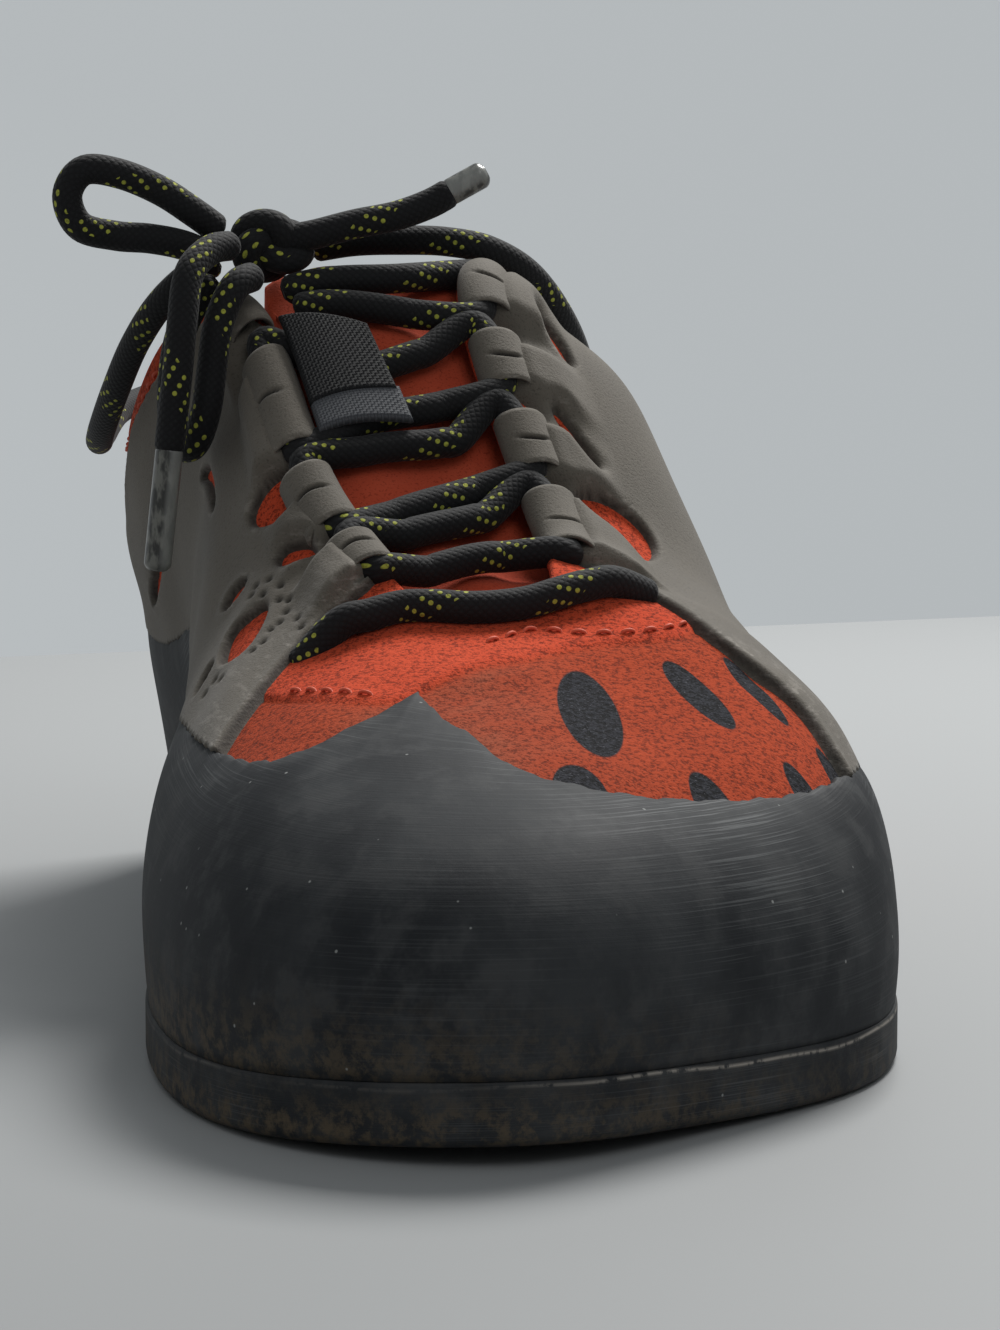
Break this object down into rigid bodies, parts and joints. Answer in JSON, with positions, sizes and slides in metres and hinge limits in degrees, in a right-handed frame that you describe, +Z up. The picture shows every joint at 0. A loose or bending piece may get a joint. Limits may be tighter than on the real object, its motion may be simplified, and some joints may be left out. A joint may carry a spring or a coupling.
{
  "type": "climbing shoe",
  "caption": "Left lace-up climbing shoe with a suede upper, rubber sole and rand, and a laced leather harness over a padded tongue.",
  "frame": {"origin": "on the floor, under the middle of the box of the shoe without its loose laces", "axes": "+Z up, -Y towards the toe, +X towards the lateral (little toe) side of this left shoe"},
  "size_m": [0.1033, 0.2637, 0.1176],
  "materials": {
    "rubber": "matt charcoal rubber with fine scuffs and dirt",
    "suede": "orange-red suede with dark grain",
    "harness": "warm grey synthetic suede",
    "tongue": "soft orange microfibre",
    "lace": "black braided lace with small yellow-green dots",
    "webbing": "black woven webbing",
    "lace_tip": "clear sealed plastic tip",
    "footbed": "grey-brown lining cloth"
  },
  "bodies": {
    "root": {"outsole": "rubber", "toe_rand": "rubber", "heel_rand": "rubber", "insole": "footbed", "upper": "suede", "harness_lateral": "harness", "harness_medial": "harness", "tongue": "tongue", "tongue_tab": "webbing", "lace_strand_1": "lace", "lace_strand_2": "lace", "lace_strand_3": "lace", "lace_strand_4": "lace", "lace_strand_5": "lace", "lace_strand_6": "lace", "lace_strand_7": "lace", "lace_strand_8": "lace", "lace_strand_9": "lace", "lace_wrap": "lace", "lace_knot": "lace", "lace_loop_left": "lace", "lace_loop_hanging": "lace", "lace_end_right": "lace", "lace_end_hanging": "lace", "aglet_right": "lace_tip", "aglet_hanging": "lace_tip"}
  },
  "joints": []
}
